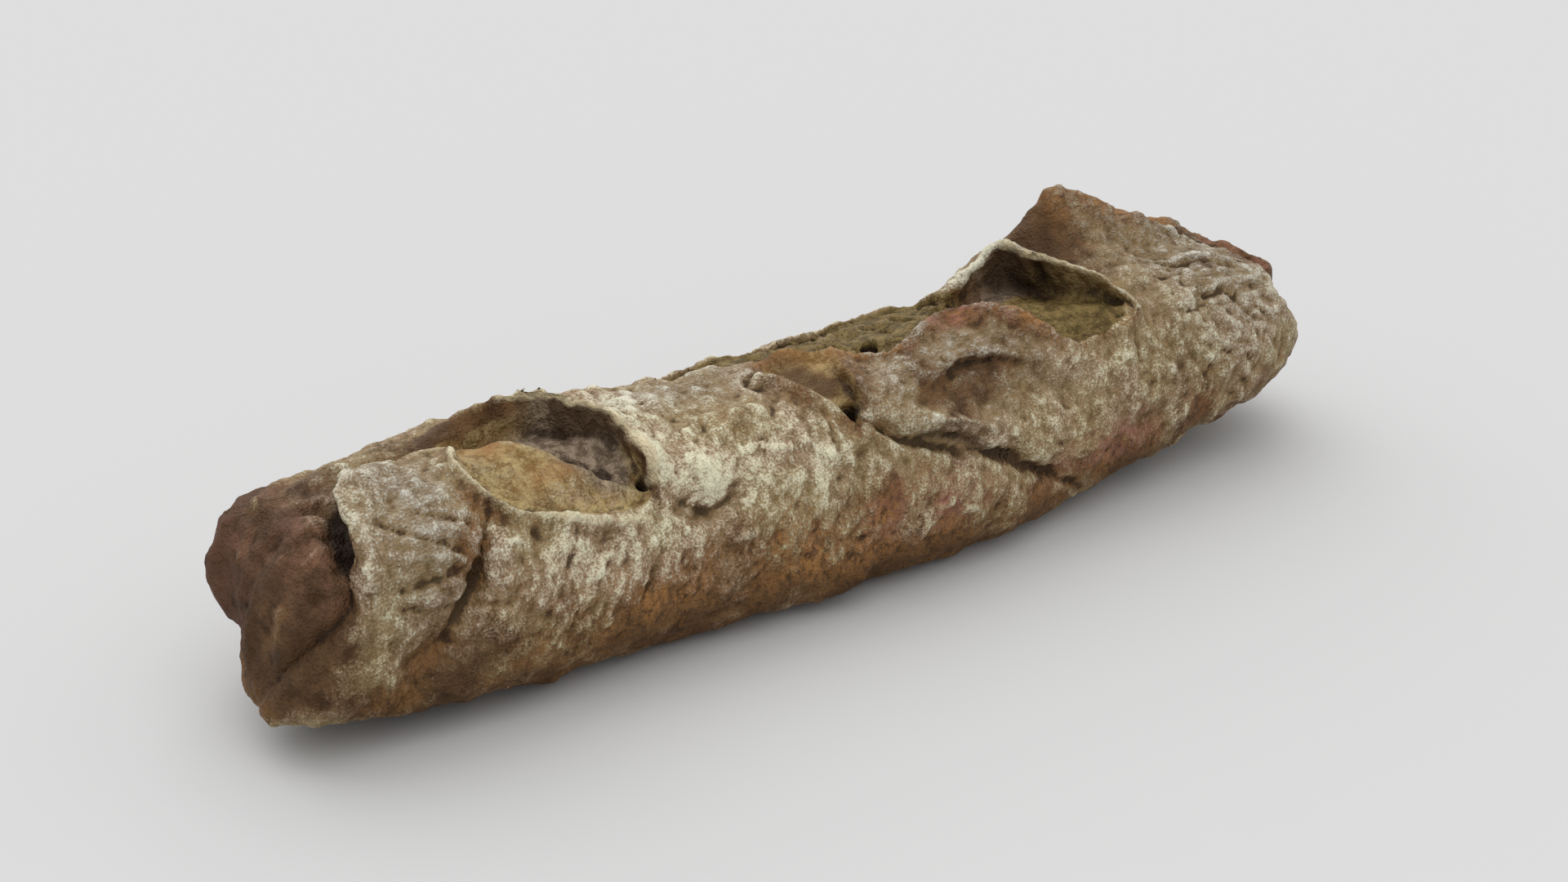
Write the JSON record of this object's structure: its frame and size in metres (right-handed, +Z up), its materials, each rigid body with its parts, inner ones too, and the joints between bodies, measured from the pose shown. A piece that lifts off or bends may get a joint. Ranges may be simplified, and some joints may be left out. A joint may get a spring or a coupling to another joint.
{
  "type": "baguette",
  "caption": "Rustic short baguette: a rounded bar of floured crust with burst scores, a raised ear near one end, folded creases and a flat baked base.",
  "frame": {"origin": "on the surface that the loaf rests on, under the middle of its box", "axes": "+X along the loaf towards the eared end, +Y from the front of the loaf to its back, +Z up"},
  "size_m": [0.3432, 0.0802, 0.0798],
  "materials": {
    "crust": "rough baked bread crust, dusted with flour"
  },
  "bodies": {
    "root": {"loaf": "crust"}
  },
  "joints": []
}
